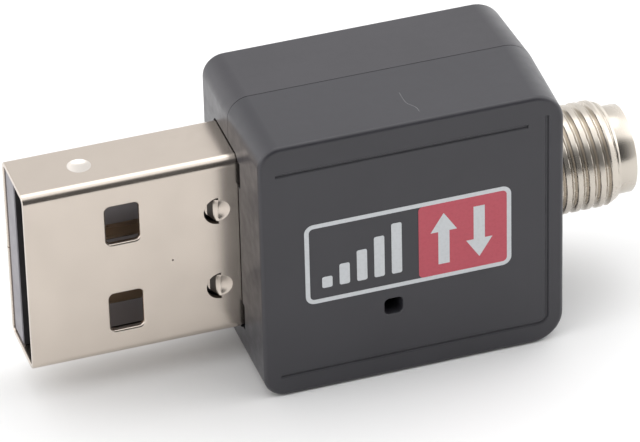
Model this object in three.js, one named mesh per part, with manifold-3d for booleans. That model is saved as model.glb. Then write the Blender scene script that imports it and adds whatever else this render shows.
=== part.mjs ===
// A USB wireless network adapter: a USB-A plug, a two-shell plastic case and a reverse-polarity SMA
// antenna jack, with the circuit board and its components inside.
// Units are millimetres. The adapter stands on one of its narrow long sides, with +Z up.
// +X runs from the plug to the jack, and +Y from the printed front face to the plain back.
// The origin is on the underside, straight below the plug's axis, halfway along the case.
import * as THREE from "three";
import { mergeVertices } from "three/addons/utils/BufferGeometryUtils.js";
import Module from "manifold-3d";

const wasm = await Module();
wasm.setup();

// ---------------------------------------------------------------- driving dimensions
const AXIS_Z = 8.25; // height of the plug's axis above the underside
const JACK_AXIS_Z = 7.97; // the jack sits slightly lower
const GAP = 0.05; // clearance between pieces that touch when assembled

const CASE_LENGTH = 18.28; // along X, at the front and back faces
const CASE_HEIGHT = 17.1;
const CASE_FRONT_Y = -6.4;
const CASE_BACK_Y = 4.42;
const PARTING_Y = -0.6; // the plane where the two shells meet
const CASE_DRAFT = 0.25; // how far the jack's end stands out at the parting plane
const PLUG_SIDE_CORNER = 1.3; // radius of the case's corners beside the plug
const JACK_SIDE_CORNER = 1.85;
const CASE_EDGE = 0.25; // rounding around the front and back faces
const WALL = 1.2;
const LIP_HEIGHT = 0.8; // the rear shell's lip, inside the front shell's rebate
const LIP_INSET = 0.65;

const PLUG_LENGTH = 12.65; // of the metal shell that stands out of the case
const PLUG_WIDTH = 12.0; // along Z
const PLUG_THICKNESS = 4.5; // along Y
const PLUG_SHEET = 0.3;
const PLUG_CORNER = 0.6;
const PLUG_END_X = -CASE_LENGTH / 2 - PLUG_LENGTH;
const PLUG_REAR_X = -5.7;

const TONGUE_FACE_Y = 0.1; // the tongue's contact side
const CONTACT_THICKNESS = 0.25;
const TONGUE_RECESS = 0.1; // how far the tongue's tip stays behind the plug's mouth
const CAVITY_DEPTH = 9.2; // from the plug's mouth to the insulator's rear block

const BOARD = { x0: -5.6, x1: 6.25, z0: 1.4, z1: 15.1, frontY: 0.4, thickness: 1.0 };

const JACK_LENGTH = 6.02; // of the barrel that stands out of the case
const JACK_END_X = CASE_LENGTH / 2 + JACK_LENGTH;
const THREAD_RADIUS = 3.175; // 1/4-36 UNS
const THREAD_PITCH = 25.4 / 36;
const THREAD_DEPTH = 0.36;
const NOSE_RADIUS = 2.65;
const NOSE_LENGTH = 1.1;
const JACK_BORE_RADIUS = 2.3;
const JACK_BORE_DEPTH = 1.9;

// ---------------------------------------------------------------- materials
const finish = (color, roughness, metalness) =>
  new THREE.MeshStandardMaterial({ color, roughness, metalness });
const CASE_BLACK = finish(0x2b2c31, 0.45, 0);
const PLASTIC_BLACK = finish(0x141416, 0.6, 0);
const NICKEL = finish(0xcfc4b6, 0.2, 1);
const GOLD = finish(0xd9b25a, 0.25, 1);
const PTFE = finish(0xf2f0ea, 0.5, 0);
const BOARD_GREEN = finish(0x1f5a35, 0.4, 0);
const CHIP_BLACK = finish(0x1b1b1d, 0.7, 0);
const CAPACITOR_TAN = finish(0xb08a5c, 0.5, 0);
const FERRITE_GREY = finish(0x3c3c40, 0.7, 0);
const LED_CLEAR = finish(0xe8e6d2, 0.3, 0);

// ---------------------------------------------------------------- solids
const SIDES = [-1, 1];
const X_AXIS = new THREE.Vector3(1, 0, 0);
const Y_AXIS = new THREE.Vector3(0, 1, 0);
const Z_AXIS = new THREE.Vector3(0, 0, 1);

// A closed three.js geometry as a manifold-3d solid.
function solid(geometry) {
  const bare = geometry.index ? geometry.toNonIndexed() : geometry.clone();
  bare.deleteAttribute("normal");
  bare.deleteAttribute("uv");
  const merged = mergeVertices(bare, 1e-4);
  return new wasm.Manifold(
    new wasm.Mesh({
      numProp: 3,
      vertProperties: merged.attributes.position.array,
      triVerts: new Uint32Array(merged.index.array),
    }),
  );
}

// A manifold-3d solid as a three.js geometry.
function geometryOf(body) {
  const mesh = body.getMesh();
  const geometry = new THREE.BufferGeometry();
  geometry.setAttribute("position", new THREE.BufferAttribute(mesh.vertProperties, 3));
  geometry.setIndex(new THREE.BufferAttribute(mesh.triVerts, 1));
  geometry.computeVertexNormals();
  return geometry;
}

const join = (...bodies) => bodies.reduce((a, b) => a.add(b));
const cut = (body, ...tools) => tools.reduce((a, b) => a.subtract(b), body);

function block(x0, x1, y0, y1, z0, z1) {
  const geometry = new THREE.BoxGeometry(x1 - x0, y1 - y0, z1 - z0);
  return solid(geometry.translate((x0 + x1) / 2, (y0 + y1) / 2, (z0 + z1) / 2));
}

// A rectangle with rounded corners, centred on (centreU, centreV).
function roundedRect(width, height, radius, centreU = 0, centreV = 0) {
  const right = centreU + width / 2 - radius;
  const left = centreU - width / 2 + radius;
  const top = centreV + height / 2 - radius;
  const bottom = centreV - height / 2 + radius;
  const shape = new THREE.Shape();
  shape.absarc(right, bottom, radius, -Math.PI / 2, 0);
  shape.absarc(right, top, radius, 0, Math.PI / 2);
  shape.absarc(left, top, radius, Math.PI / 2, Math.PI);
  shape.absarc(left, bottom, radius, Math.PI, 1.5 * Math.PI);
  shape.closePath();
  return shape;
}

// An XZ outline pulled along Y, from y0 to y1.
function prismAlongY(outline, y0, y1, curveSegments = 6) {
  const settings = { depth: y1 - y0, bevelEnabled: false, curveSegments };
  const geometry = new THREE.ExtrudeGeometry(outline, settings);
  return solid(geometry.rotateX(Math.PI / 2).translate(0, y1, 0));
}

// A YZ outline, drawn around the plug's axis, pulled along X from x0 to x1.
function prismAlongX(outline, x0, x1, curveSegments = 4) {
  const settings = { depth: x1 - x0, bevelEnabled: false, curveSegments };
  const geometry = new THREE.ExtrudeGeometry(outline, settings);
  const turn = new THREE.Matrix4().makeBasis(Y_AXIS, Z_AXIS, X_AXIS);
  return solid(geometry.applyMatrix4(turn).translate(x0, 0, AXIS_Z));
}

// A round bar along Y, from y0 to y1.
function roundAlongY(x, z, radius, y0, y1, segments = 16) {
  const geometry = new THREE.CylinderGeometry(radius, radius, y1 - y0, segments);
  return solid(geometry.translate(x, (y0 + y1) / 2, z));
}

// A profile of [radius, x] points, turned about the jack's axis.
function turned(profile, segments) {
  const points = profile.map(([radius, x]) => new THREE.Vector2(radius, x));
  const geometry = new THREE.LatheGeometry(points, segments);
  return geometry.rotateZ(-Math.PI / 2).translate(0, 0, JACK_AXIS_Z);
}

// A round bar on the jack's axis, from x0 to x1.
function roundAlongX(radius, x0, x1, segments = 28) {
  return solid(turned([[0, x0], [radius, x0], [radius, x1], [0, x1]], segments));
}

// ---------------------------------------------------------------- case
const CAVITY_FRONT_Y = CASE_FRONT_Y + WALL;
const CAVITY_BACK_Y = CASE_BACK_Y - WALL;
const PEGS = [
  { x: 5.2, z: 13.8 },
  { x: -1.6, z: 2.6 },
];
const PEG_RADIUS = 0.45;
const POST_RADIUS = 1.1;

// The case's outline at the parting plane, drawn in by inset all round.
function caseOutline(inset, middleZ) {
  const left = inset - CASE_LENGTH / 2;
  const right = CASE_LENGTH / 2 + CASE_DRAFT - inset;
  const top = middleZ + CASE_HEIGHT / 2 - inset;
  const bottom = middleZ - CASE_HEIGHT / 2 + inset;
  const plugCorner = Math.max(PLUG_SIDE_CORNER - inset, 0.4);
  const jackCorner = Math.max(JACK_SIDE_CORNER - inset, 0.4);
  const shape = new THREE.Shape();
  shape.absarc(right - jackCorner, bottom + jackCorner, jackCorner, -Math.PI / 2, 0);
  shape.absarc(right - jackCorner, top - jackCorner, jackCorner, 0, Math.PI / 2);
  shape.absarc(left + plugCorner, top - plugCorner, plugCorner, Math.PI / 2, Math.PI);
  shape.absarc(left + plugCorner, bottom + plugCorner, plugCorner, Math.PI, 1.5 * Math.PI);
  shape.closePath();
  return shape;
}

// Half of the case's outer form, or of its cavity: drawn in by inset all round, longest at the parting
// plane, and tapering by the draft at the jack's end towards faceY, where its edge is rounded.
function halfForm(faceY, inset, edge) {
  const towardsFront = faceY < PARTING_Y;
  const depth = Math.abs(faceY - PARTING_Y);
  const overrun = 2; // past the parting plane, trimmed off below
  const geometry = new THREE.ExtrudeGeometry(caseOutline(inset, 0), {
    depth: depth + overrun - 2 * edge,
    bevelThickness: edge,
    bevelSize: edge,
    bevelOffset: -edge,
    bevelSegments: 3,
    curveSegments: 6,
  });
  geometry.translate(0, 0, edge - overrun);
  const position = geometry.getAttribute("position");
  for (let i = 0; i < position.count; i++) {
    const drawnIn = position.getX(i) > 0 ? (CASE_DRAFT * position.getZ(i)) / depth : 0;
    position.setX(i, position.getX(i) - drawnIn);
  }
  geometry.rotateX(towardsFront ? Math.PI / 2 : -Math.PI / 2);
  geometry.translate(0, PARTING_Y, CASE_HEIGHT / 2);
  const side = towardsFront
    ? block(-20, 20, faceY - 1, PARTING_Y, -5, 25)
    : block(-20, 20, PARTING_Y, faceY + 1, -5, 25);
  return solid(geometry).intersect(side);
}

// The case outline, drawn in by inset, as a straight prism around the parting plane.
function casePrism(inset, y0, y1) {
  return prismAlongY(caseOutline(inset, CASE_HEIGHT / 2), y0, y1);
}

// The way in for the plug, through one end of both shells, with a relief near each of its corners.
function plugOpening() {
  const faceGap = 0.15;
  const sideGap = 0.3;
  const reliefDepth = 0.45;
  const reliefFrom = 4.05;
  const reliefTo = 5.8;
  const halfWidth = PLUG_WIDTH / 2 + sideGap;
  const halfThickness = PLUG_THICKNESS / 2;
  const x0 = -CASE_LENGTH / 2 - 1;
  const x1 = -CASE_LENGTH / 2 + WALL + 0.5;
  const middle = prismAlongX(roundedRect(PLUG_THICKNESS + 2 * faceGap, 2 * halfWidth, 0.3), x0, x1);
  const reliefs = SIDES.map((side) => {
    const inner = AXIS_Z + side * reliefFrom;
    const outer = AXIS_Z + side * reliefTo;
    const reach = halfThickness + reliefDepth;
    return block(x0, x1, -reach, reach, Math.min(inner, outer), Math.max(inner, outer));
  });
  return join(middle, ...reliefs);
}

function jackHole() {
  return roundAlongX(THREAD_RADIUS + 0.1, CASE_LENGTH / 2 - WALL - 1, CASE_LENGTH / 2 + 1, 40);
}

// Two fine grooves in the front face, around the label's field: one along its top, and one along its
// bottom that turns up its jack side.
function frontGrooves() {
  const depth = 0.15;
  const half = 0.08;
  const field = { left: -8.16, right: 6.96, top: 15.25, bottom: 1.4 };
  const side = { x: 8.11, top: 15.75, bend: 0.5 };
  const y0 = CASE_FRONT_Y - 1;
  const y1 = CASE_FRONT_Y + depth;
  const bendX = side.x - side.bend;
  const bendZ = field.bottom + side.bend;
  const corner = new THREE.Shape();
  corner.moveTo(field.left, field.bottom - half);
  corner.lineTo(bendX, field.bottom - half);
  corner.absarc(bendX, bendZ, side.bend + half, -Math.PI / 2, 0);
  corner.lineTo(side.x + half, side.top);
  corner.lineTo(side.x - half, side.top);
  corner.absarc(bendX, bendZ, side.bend - half, 0, -Math.PI / 2, true);
  corner.lineTo(field.left, field.bottom + half);
  corner.closePath();
  const top = block(field.left, field.right, y0, y1, field.top - half, field.top + half);
  return join(top, prismAlongY(corner, y0, y1, 4));
}

function frontShell() {
  const ledWindow = prismAlongY(
    roundedRect(1.2, 1.2, 0.4, LED.x, LED.z),
    CASE_FRONT_Y - 1,
    CAVITY_FRONT_Y + 1,
    4,
  );
  const cavity = halfForm(CAVITY_FRONT_Y, WALL, 0);
  const rebate = casePrism(LIP_INSET - GAP, PARTING_Y - LIP_HEIGHT - GAP, PARTING_Y + 1);
  const bosses = PEGS.map(({ x, z }) =>
    roundAlongY(x, z, POST_RADIUS, CAVITY_FRONT_Y - 0.3, BOARD.frontY - GAP),
  );
  const sockets = PEGS.map(({ x, z }) => roundAlongY(x, z, PEG_RADIUS + GAP, BOARD.frontY - 1.4, 1));
  const hollow = cut(halfForm(CASE_FRONT_Y, 0, CASE_EDGE), cavity, rebate);
  return cut(join(hollow, ...bosses), ...sockets, plugOpening(), jackHole(), ledWindow, frontGrooves());
}

function rearShell() {
  const cavity = halfForm(CAVITY_BACK_Y, WALL, 0);
  const lipTop = PARTING_Y - LIP_HEIGHT;
  const lip = cut(
    casePrism(LIP_INSET, lipTop, PARTING_Y + 0.5),
    casePrism(WALL, lipTop - 1, PARTING_Y + 1),
  );
  const boardBack = BOARD.frontY + BOARD.thickness;
  const posts = PEGS.map(({ x, z }) =>
    roundAlongY(x, z, POST_RADIUS, boardBack + GAP, CAVITY_BACK_Y + 0.3),
  );
  const pegs = PEGS.map(({ x, z }) => roundAlongY(x, z, PEG_RADIUS, BOARD.frontY - 0.9, boardBack + 1));
  const hollow = cut(halfForm(CASE_BACK_Y, 0, CASE_EDGE), cavity);
  return cut(join(hollow, lip, ...posts, ...pegs), plugOpening(), jackHole());
}

// ---------------------------------------------------------------- USB plug
const WINDOW = { length: 2.05, width: 2.6, corner: 0.35, fromEnd: 5.76, fromAxis: 3.0 };
const LANCE = { radius: 0.88, hingeX: -CASE_LENGTH / 2 - 1.2, fromAxis: 2.6, angle: 0.36 };

// A half-round tongue cut out of the plug's front sheet and bent inwards at its straight edge.
function lanceTongue(side) {
  const slot = 0.14;
  const outline = new THREE.Shape();
  outline.absarc(0, 0, LANCE.radius - slot, Math.PI / 2, 1.5 * Math.PI);
  outline.closePath();
  const geometry = new THREE.ExtrudeGeometry(outline, {
    depth: PLUG_SHEET - 0.02,
    bevelEnabled: false,
    curveSegments: 10,
  });
  geometry.rotateX(Math.PI / 2).translate(0.05, PLUG_SHEET - 0.02, 0).rotateZ(-LANCE.angle);
  const z = AXIS_Z + side * LANCE.fromAxis;
  return solid(geometry.translate(LANCE.hingeX, -PLUG_THICKNESS / 2, z));
}

function lanceSlot(side) {
  const outline = new THREE.Shape();
  outline.absarc(LANCE.hingeX, AXIS_Z + side * LANCE.fromAxis, LANCE.radius, Math.PI / 2, 1.5 * Math.PI);
  outline.closePath();
  return prismAlongY(outline, -PLUG_THICKNESS / 2 - 1, -PLUG_THICKNESS / 2 + 0.8, 10);
}

function usbShell() {
  const outer = roundedRect(PLUG_THICKNESS, PLUG_WIDTH, PLUG_CORNER);
  const inner = roundedRect(
    PLUG_THICKNESS - 2 * PLUG_SHEET,
    PLUG_WIDTH - 2 * PLUG_SHEET,
    PLUG_CORNER - PLUG_SHEET,
  );
  const tube = cut(
    prismAlongX(outer, PLUG_END_X, PLUG_REAR_X, 6),
    prismAlongX(inner, PLUG_END_X - 1, PLUG_REAR_X + 1, 6),
  );
  const windows = SIDES.map((side) =>
    prismAlongY(
      roundedRect(
        WINDOW.length,
        WINDOW.width,
        WINDOW.corner,
        PLUG_END_X + WINDOW.fromEnd,
        AXIS_Z + side * WINDOW.fromAxis,
      ),
      -PLUG_THICKNESS,
      PLUG_THICKNESS,
      3,
    ),
  );
  const seamWidth = 0.08;
  const seam = block(
    PLUG_END_X - 1,
    PLUG_REAR_X + 1,
    1,
    PLUG_THICKNESS,
    AXIS_Z - seamWidth / 2,
    AXIS_Z + seamWidth / 2,
  );
  const dimpleX = PLUG_END_X + 3.95;
  const dimpleSphere = 1.8;
  const dimpleDepth = 0.12;
  const dimples = SIDES.map((side) => {
    const z = AXIS_Z + side * (PLUG_WIDTH / 2 + dimpleSphere - dimpleDepth);
    return solid(new THREE.SphereGeometry(dimpleSphere, 32, 24).translate(dimpleX, 0, z));
  });
  const tabLength = 2.5;
  const tabs = SIDES.map((side) => {
    const face = AXIS_Z + (side * PLUG_WIDTH) / 2;
    const back = face - side * PLUG_SHEET;
    return block(
      PLUG_REAR_X - 0.5,
      PLUG_REAR_X + tabLength,
      -0.3,
      1.3,
      Math.min(face, back),
      Math.max(face, back),
    );
  });
  const pierced = cut(join(tube, ...tabs), ...windows, seam, ...dimples, ...SIDES.map(lanceSlot));
  return join(pierced, ...SIDES.map(lanceTongue));
}

const CONTACTS = [
  { name: "vbus_contact", offset: -3.5, start: 1.5 },
  { name: "data_minus_contact", offset: -1.0, start: 2.5 },
  { name: "data_plus_contact", offset: 1.0, start: 2.5 },
  { name: "ground_contact", offset: 3.5, start: 1.5 },
];
const CONTACT_WIDTH = 1.0;
const CONTACT_TAIL_X = -3.4;
const INSULATOR_REAR_X = -5.85;

function contact({ offset, start }) {
  const half = CONTACT_WIDTH / 2;
  const tailHalf = 0.35;
  const nose = 0.3;
  const x0 = PLUG_END_X + start;
  const shoulder = INSULATOR_REAR_X + 0.2;
  const z = AXIS_Z + offset;
  const outline = new THREE.Shape([
    new THREE.Vector2(x0, z - half + nose),
    new THREE.Vector2(x0 + nose, z - half),
    new THREE.Vector2(shoulder, z - half),
    new THREE.Vector2(shoulder, z - tailHalf),
    new THREE.Vector2(CONTACT_TAIL_X, z - tailHalf),
    new THREE.Vector2(CONTACT_TAIL_X, z + tailHalf),
    new THREE.Vector2(shoulder, z + tailHalf),
    new THREE.Vector2(shoulder, z + half),
    new THREE.Vector2(x0 + nose, z + half),
    new THREE.Vector2(x0, z + half - nose),
  ]);
  return prismAlongY(outline, TONGUE_FACE_Y, TONGUE_FACE_Y + CONTACT_THICKNESS);
}

// The tongue beside the plug's back face, and the block that closes the plug behind its cavity.
function usbInsulator() {
  const halfThickness = PLUG_THICKNESS / 2 - PLUG_SHEET - GAP;
  const halfWidth = PLUG_WIDTH / 2 - PLUG_SHEET - GAP;
  const section = roundedRect(2 * halfThickness, 2 * halfWidth, PLUG_CORNER - PLUG_SHEET - GAP);
  const blockX = PLUG_END_X + CAVITY_DEPTH;
  const filled = prismAlongX(section, PLUG_END_X + TONGUE_RECESS, INSULATOR_REAR_X);
  const cavity = block(PLUG_END_X, blockX, -PLUG_THICKNESS, TONGUE_FACE_Y, 0, CASE_HEIGHT);
  const channels = CONTACTS.map(({ offset, start }) => {
    const clearance = 0.02;
    const half = CONTACT_WIDTH / 2 + clearance;
    const z = AXIS_Z + offset;
    const front = TONGUE_FACE_Y - clearance;
    const back = TONGUE_FACE_Y + CONTACT_THICKNESS + clearance;
    return block(PLUG_END_X + start - clearance, INSULATOR_REAR_X + 1, front, back, z - half, z + half);
  });
  const lancePockets = SIDES.map((side) => {
    const z = AXIS_Z + side * LANCE.fromAxis;
    const reach = LANCE.radius + 0.1;
    return block(LANCE.hingeX - reach, LANCE.hingeX + 0.3, -halfThickness - 1, -1.2, z - reach, z + reach);
  });
  return cut(filled, cavity, ...channels, ...lancePockets);
}

// ---------------------------------------------------------------- antenna jack
// The thread's height above its root, 0 to 1, at an angle and a distance along the axis.
function threadHeight(angle, x, x0, x1) {
  const turns = (x - x0) / THREAD_PITCH - angle / (2 * Math.PI);
  const wave = Math.abs(2 * (turns - Math.floor(turns)) - 1);
  const flank = THREE.MathUtils.clamp((wave - 0.12) / 0.45, 0, 1);
  const runOut = Math.min((x - x0) / THREAD_PITCH, (x1 - x) / (0.6 * THREAD_PITCH), 1);
  return flank * THREE.MathUtils.clamp(runOut, 0, 1);
}

function jackBarrel() {
  const rootRadius = THREAD_RADIUS - THREAD_DEPTH;
  const threadX0 = CASE_LENGTH / 2 + 0.05;
  const threadX1 = JACK_END_X - NOSE_LENGTH - 0.15;
  const rowsPerPitch = 6;
  const rows = Math.round(((threadX1 - threadX0) / THREAD_PITCH) * rowsPerPitch);
  const neckX = FLANGE.x1 - 0.5;
  const neckRadius = THREAD_RADIUS - 0.1;
  const profile = [[0, neckX], [neckRadius, neckX], [neckRadius, threadX0 - 0.2]];
  for (let row = 0; row <= rows; row++) {
    profile.push([rootRadius, threadX0 + ((threadX1 - threadX0) * row) / rows]);
  }
  const chamfer = 0.12;
  profile.push([NOSE_RADIUS, JACK_END_X - NOSE_LENGTH]);
  profile.push([NOSE_RADIUS, JACK_END_X - chamfer]);
  profile.push([NOSE_RADIUS - chamfer, JACK_END_X]);
  profile.push([0, JACK_END_X]);
  const geometry = turned(profile, 28);
  const position = geometry.getAttribute("position");
  for (let i = 0; i < position.count; i++) {
    const x = position.getX(i);
    const y = position.getY(i);
    const z = position.getZ(i) - JACK_AXIS_Z;
    const radius = Math.hypot(y, z);
    if (Math.abs(radius - rootRadius) > 1e-3 || x < threadX0 - 1e-3 || x > threadX1 + 1e-3) continue;
    const height = threadHeight(Math.atan2(z, y), x, threadX0, threadX1);
    const grown = (rootRadius + THREAD_DEPTH * height) / radius;
    position.setY(i, y * grown);
    position.setZ(i, JACK_AXIS_Z + z * grown);
  }
  return solid(geometry);
}

const FLANGE = { x0: 6.3, x1: 7.75, halfY: 2.9, halfZ: 3.5 };
const DIELECTRIC_RADIUS = 2.05;
const DIELECTRIC_REAR_X = FLANGE.x0 + 0.1;
const DIELECTRIC_FACE_X = JACK_END_X - JACK_BORE_DEPTH;

function jackBody() {
  const flange = block(
    FLANGE.x0,
    FLANGE.x1,
    -FLANGE.halfY,
    FLANGE.halfY,
    JACK_AXIS_Z - FLANGE.halfZ,
    JACK_AXIS_Z + FLANGE.halfZ,
  );
  const legSize = 1.0;
  const legLength = 3.9;
  const legFromAxis = 2.6;
  const boardBack = BOARD.frontY + BOARD.thickness;
  const legs = SIDES.flatMap((side) => {
    const z0 = JACK_AXIS_Z + side * legFromAxis - legSize / 2;
    const z1 = z0 + legSize;
    const x0 = FLANGE.x0 - legLength;
    const x1 = FLANGE.x0 + 0.2;
    return [
      block(x0, x1, BOARD.frontY - GAP - legSize, BOARD.frontY - GAP, z0, z1),
      block(x0, x1, boardBack + GAP, boardBack + GAP + legSize, z0, z1),
    ];
  });
  const boreX = DIELECTRIC_FACE_X;
  const bore = roundAlongX(JACK_BORE_RADIUS, boreX, JACK_END_X + 1);
  const passage = roundAlongX(DIELECTRIC_RADIUS + 0.02, FLANGE.x0 - 1, boreX + 0.5);
  return cut(join(jackBarrel(), flange, ...legs), bore, passage);
}

const PIN_RADIUS = 0.455;

function jackDielectric() {
  const x0 = DIELECTRIC_REAR_X;
  const x1 = DIELECTRIC_FACE_X;
  const hole = PIN_RADIUS + 0.02;
  const profile = [[hole, x0], [DIELECTRIC_RADIUS, x0], [DIELECTRIC_RADIUS, x1], [hole, x1], [hole, x0]];
  return solid(turned(profile, 28));
}

// The jack's centre pin: a tip for the antenna's socket, and a thinner tail that lies on the board.
function jackCentrePin() {
  const tipX = JACK_END_X - 0.3;
  const tailRadius = 0.34;
  const tailX = 4.0;
  const profile = [
    [0, tailX],
    [tailRadius, tailX],
    [tailRadius, DIELECTRIC_REAR_X + 0.3],
    [PIN_RADIUS, DIELECTRIC_REAR_X + 0.3],
    [PIN_RADIUS, tipX - 0.5],
    [0.2, tipX],
    [0, tipX],
  ];
  return solid(turned(profile, 20));
}

// ---------------------------------------------------------------- circuit board
const LED = { x: -1.27, z: 4.75 };

function circuitBoard() {
  const width = BOARD.x1 - BOARD.x0;
  const height = BOARD.z1 - BOARD.z0;
  const centreX = (BOARD.x0 + BOARD.x1) / 2;
  const centreZ = (BOARD.z0 + BOARD.z1) / 2;
  const back = BOARD.frontY + BOARD.thickness;
  const outline = roundedRect(width, height, 0.4, centreX, centreZ);
  const tabSlots = SIDES.map((side) => {
    const z = AXIS_Z + side * (PLUG_WIDTH / 2 - PLUG_SHEET / 2);
    return block(BOARD.x0 - 1, PLUG_REAR_X + 2.7, BOARD.frontY - 1, back + 1, z - 0.3, z + 0.3);
  });
  const pegHoles = PEGS.map(({ x, z }) => roundAlongY(x, z, PEG_RADIUS + 0.1, BOARD.frontY - 1, back + 1));
  return cut(prismAlongY(outline, BOARD.frontY, back, 3), ...tabSlots, ...pegHoles);
}

// A component that sits on the board's front: its size along X and Z, and its height off the board.
function component({ x, z, length, width, height }) {
  const y1 = BOARD.frontY - 0.03;
  return block(x - length / 2, x + length / 2, y1 - height, y1, z - width / 2, z + width / 2);
}

const swap = (length, width, upright) => (upright ? { length: width, width: length } : { length, width });

// A chip component: a ceramic middle between two slightly proud metal end caps, long axis along X or Z.
function chipComponent({ x, z, length, width, height, upright }) {
  const cap = 0.22 * length;
  const proud = 0.03;
  const middle = component({ x, z, height: height - proud, ...swap(length, width - 2 * proud, upright) });
  const ends = SIDES.map((side) => {
    const shift = (side * (length - cap)) / 2;
    const place = upright ? { x, z: z + shift } : { x: x + shift, z };
    return component({ ...place, height, ...swap(cap, width, upright) });
  });
  return join(middle, ...ends);
}

const SIZE_0402 = { length: 1.0, width: 0.5, height: 0.5 };
const SIZE_0603 = { length: 1.6, width: 0.8, height: 0.8 };
const CAPACITORS = [
  { ...SIZE_0603, x: 0.9, z: 2.6 },
  { ...SIZE_0402, x: -2.2, z: 6.0, upright: true },
  { ...SIZE_0402, x: 0.6, z: 6.0, upright: true },
  { ...SIZE_0402, x: 1.5, z: 6.0, upright: true },
  { ...SIZE_0402, x: -2.2, z: 12.7 },
  { ...SIZE_0402, x: -1.2, z: 14.2, upright: true },
  { ...SIZE_0402, x: 4.3, z: 12.2 },
  { ...SIZE_0402, x: 3.1, z: 7.2, upright: true },
];
const RESISTORS = [
  { ...SIZE_0402, height: 0.35, x: 1.1, z: 4.85 },
  { ...SIZE_0402, height: 0.35, x: -0.9, z: 12.7 },
  { ...SIZE_0402, height: 0.35, x: 3.1, z: 9.6, upright: true },
];

// A flat no-lead package with a ring of metal pads standing out a little round its base.
function wifiChip() {
  const size = 5.0;
  const centre = { x: -0.3, z: 9.3 };
  const body = component({ ...centre, length: size, width: size, height: 0.85 });
  const padPitch = 0.4;
  const padsPerSide = 10;
  const pads = [];
  for (let pad = 0; pad < padsPerSide; pad++) {
    const along = (pad - (padsPerSide - 1) / 2) * padPitch;
    const across = size + 0.1;
    const height = 0.2;
    const width = 0.2;
    pads.push(component({ x: centre.x + along, z: centre.z, length: width, width: across, height }));
    pads.push(component({ x: centre.x, z: centre.z + along, length: across, width, height }));
  }
  return join(body, ...pads);
}

// A metal lid, stepped in from a ceramic base.
function crystal() {
  const place = { x: 1.3, z: 13.7 };
  const base = component({ ...place, length: 3.2, width: 2.5, height: 0.45 });
  const lid = component({ ...place, length: 2.9, width: 2.2, height: 0.7 });
  return join(base, lid);
}

function powerInductor() {
  const place = { x: 3.4, z: 3.4 };
  const drum = component({ ...place, length: 2.5, width: 2.0, height: 1.2 });
  const foot = { z: place.z, length: 0.5, width: 2.06, height: 0.3 };
  const feet = SIDES.map((side) => component({ ...foot, x: place.x + side * 1.05 }));
  return join(drum, ...feet);
}

// A small white base with a clear domed block over the die.
function statusLed() {
  const base = component({ ...LED, length: 1.6, width: 0.8, height: 0.3 });
  const lens = component({ ...LED, length: 1.0, width: 0.74, height: 0.65 });
  return join(base, lens);
}

// ---------------------------------------------------------------- assembly
const adapter = new THREE.Group();

function addPiece(name, body, material) {
  const mesh = new THREE.Mesh(geometryOf(body), material);
  mesh.name = name;
  adapter.add(mesh);
}

addPiece("front_shell", frontShell(), CASE_BLACK);
addPiece("rear_shell", rearShell(), CASE_BLACK);
addPiece("usb_shell", usbShell(), NICKEL);
addPiece("usb_insulator", usbInsulator(), PLASTIC_BLACK);
CONTACTS.forEach((entry) => addPiece(entry.name, contact(entry), GOLD));
addPiece("jack_body", jackBody(), NICKEL);
addPiece("jack_dielectric", jackDielectric(), PTFE);
addPiece("jack_centre_pin", jackCentrePin(), GOLD);
addPiece("circuit_board", circuitBoard(), BOARD_GREEN);
addPiece("wifi_chip", wifiChip(), CHIP_BLACK);
addPiece("crystal", crystal(), NICKEL);
addPiece("power_inductor", powerInductor(), FERRITE_GREY);
addPiece("status_led", statusLed(), LED_CLEAR);
addPiece("rf_filter", chipComponent({ ...SIZE_0402, x: 3.1, z: 8.35 }), PTFE);
CAPACITORS.forEach((entry, i) => addPiece(`capacitor_${i + 1}`, chipComponent(entry), CAPACITOR_TAN));
RESISTORS.forEach((entry, i) => addPiece(`resistor_${i + 1}`, chipComponent(entry), CHIP_BLACK));

export default adapter;
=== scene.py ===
# A USB wireless adapter on a white table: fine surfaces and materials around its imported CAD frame.
# Lengths are in metres, in the frame's axes: +X from the plug to the antenna jack, -Y the printed front
# face, +Z up, with the adapter standing on z = 0. A size written as a number times MM is in millimetres.
import math

import bmesh
import bpy
from mathutils import Matrix, Vector


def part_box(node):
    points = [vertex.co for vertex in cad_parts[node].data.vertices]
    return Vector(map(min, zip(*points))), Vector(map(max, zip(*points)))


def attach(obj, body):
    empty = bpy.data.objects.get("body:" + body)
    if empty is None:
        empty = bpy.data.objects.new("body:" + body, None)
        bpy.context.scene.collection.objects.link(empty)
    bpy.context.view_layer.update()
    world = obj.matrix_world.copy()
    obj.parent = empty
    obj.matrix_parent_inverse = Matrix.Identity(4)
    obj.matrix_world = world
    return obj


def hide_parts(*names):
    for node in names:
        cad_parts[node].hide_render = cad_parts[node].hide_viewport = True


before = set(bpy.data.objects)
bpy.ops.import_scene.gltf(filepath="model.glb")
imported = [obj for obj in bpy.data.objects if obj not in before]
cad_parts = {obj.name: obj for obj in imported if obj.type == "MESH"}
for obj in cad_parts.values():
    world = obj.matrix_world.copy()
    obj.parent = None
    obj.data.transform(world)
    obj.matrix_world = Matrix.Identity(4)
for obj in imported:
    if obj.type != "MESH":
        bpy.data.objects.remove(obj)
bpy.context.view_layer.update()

MM = 0.001

# -------- places taken from the frame
FRONT_LOW, FRONT_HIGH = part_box("front_shell")
_, REAR_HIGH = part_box("rear_shell")
PLUG_LOW, PLUG_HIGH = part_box("usb_shell")
CONTACT_LOW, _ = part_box("ground_contact")
JACK_LOW, JACK_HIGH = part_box("jack_body")
DIELECTRIC_LOW, DIELECTRIC_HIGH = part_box("jack_dielectric")
BOARD_LOW, BOARD_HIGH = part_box("circuit_board")
LED_LOW, LED_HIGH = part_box("status_led")

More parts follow.
